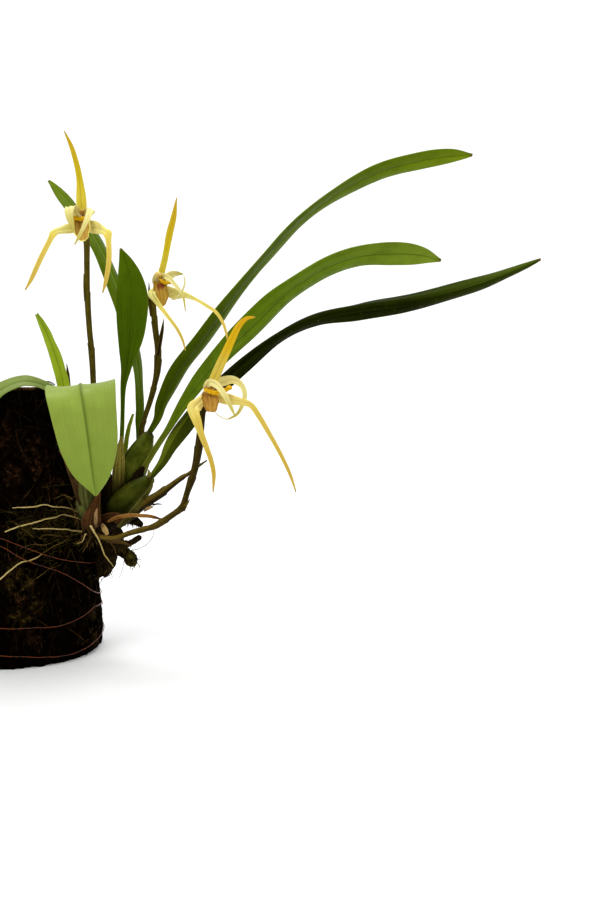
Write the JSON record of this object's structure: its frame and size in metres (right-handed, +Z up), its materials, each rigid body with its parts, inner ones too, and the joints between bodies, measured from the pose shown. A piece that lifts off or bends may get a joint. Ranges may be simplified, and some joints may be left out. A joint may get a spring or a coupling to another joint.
{
  "type": "potted orchid plant",
  "caption": "Clump-forming orchid with ridged pseudobulbs, long arching leaves and spidery yellow flowers, wired upright to a round tree-fern-fibre log.",
  "frame": {"origin": "centre of the fibre log's sawn base, on the surface that it stands on", "axes": "+Z up along the log, the pictured front faces -Y, and the leaves and flowers arch to +X"},
  "size_m": [0.3122, 0.1476, 0.252],
  "materials": {
    "fibre": "rough matted tree-fern fibre, near black",
    "copper": "thin bare copper wire, slightly tarnished",
    "root": "pale scaly rhizome and roots",
    "bulb": "ridged green pseudobulb, satin",
    "blade": "leathery dark green leaf, satin",
    "blade_pale": "leathery pale green leaf, satin",
    "shoot": "young yellow-green shoot",
    "husk": "dry brown papery sheath",
    "straw": "dry straw-coloured bract",
    "scape": "olive-brown flower stalk with clasping bracts",
    "sepal": "yellow sepal, waxy",
    "sepal_deep": "deep yellow sepal, waxy",
    "petal": "cream petal, waxy",
    "lip": "ochre-brown lip, waxy",
    "column": "brown column and anther cap"
  },
  "bodies": {
    "root": {"fibre_log": "fibre", "tie_wire_top": "copper", "tie_wire_upper": "copper", "tie_wire_lower": "copper", "tie_wire_bottom": "copper", "pseudobulb_front": "bulb", "pseudobulb_upper": "bulb", "pseudobulb_lower": "bulb", "pseudobulb_rear": "bulb", "pseudobulb_inner": "bulb", "rhizome_with_roots": "root", "scape_left": "scape", "scape_middle": "scape", "scape_right": "scape", "young_spike": "scape", "leaf_high": "blade", "leaf_middle": "blade", "leaf_low": "blade", "leaf_upright": "blade", "leaf_rear": "blade", "leaf_draped": "blade", "leaf_front": "blade_pale", "leaf_strap": "blade_pale", "young_shoot": "shoot", "sheath_upright_leaf": "straw", "bract_dry": "straw", "sheath_front": "husk", "sheath_left": "husk", "sheath_old": "husk", "sheath_middle_leaf": "husk", "bract_lower": "husk", "flower_left_column": "column", "flower_left_lip": "lip", "flower_left_petal_left": "petal", "flower_left_petal_right": "petal", "flower_left_sepal_top": "sepal", "flower_left_sepal_left": "sepal", "flower_left_sepal_right": "sepal", "flower_middle_column": "column", "flower_middle_lip": "lip", "flower_middle_petal_near": "petal", "flower_middle_petal_far": "petal", "flower_middle_sepal_top": "sepal", "flower_middle_sepal_left": "sepal", "flower_middle_sepal_right": "sepal", "flower_right_column": "column", "flower_right_lip": "lip", "flower_right_petal_near": "petal", "flower_right_petal_far": "petal", "flower_right_sepal_top": "sepal_deep", "flower_right_sepal_left": "sepal_deep", "flower_right_sepal_right": "sepal_deep"}
  },
  "joints": []
}
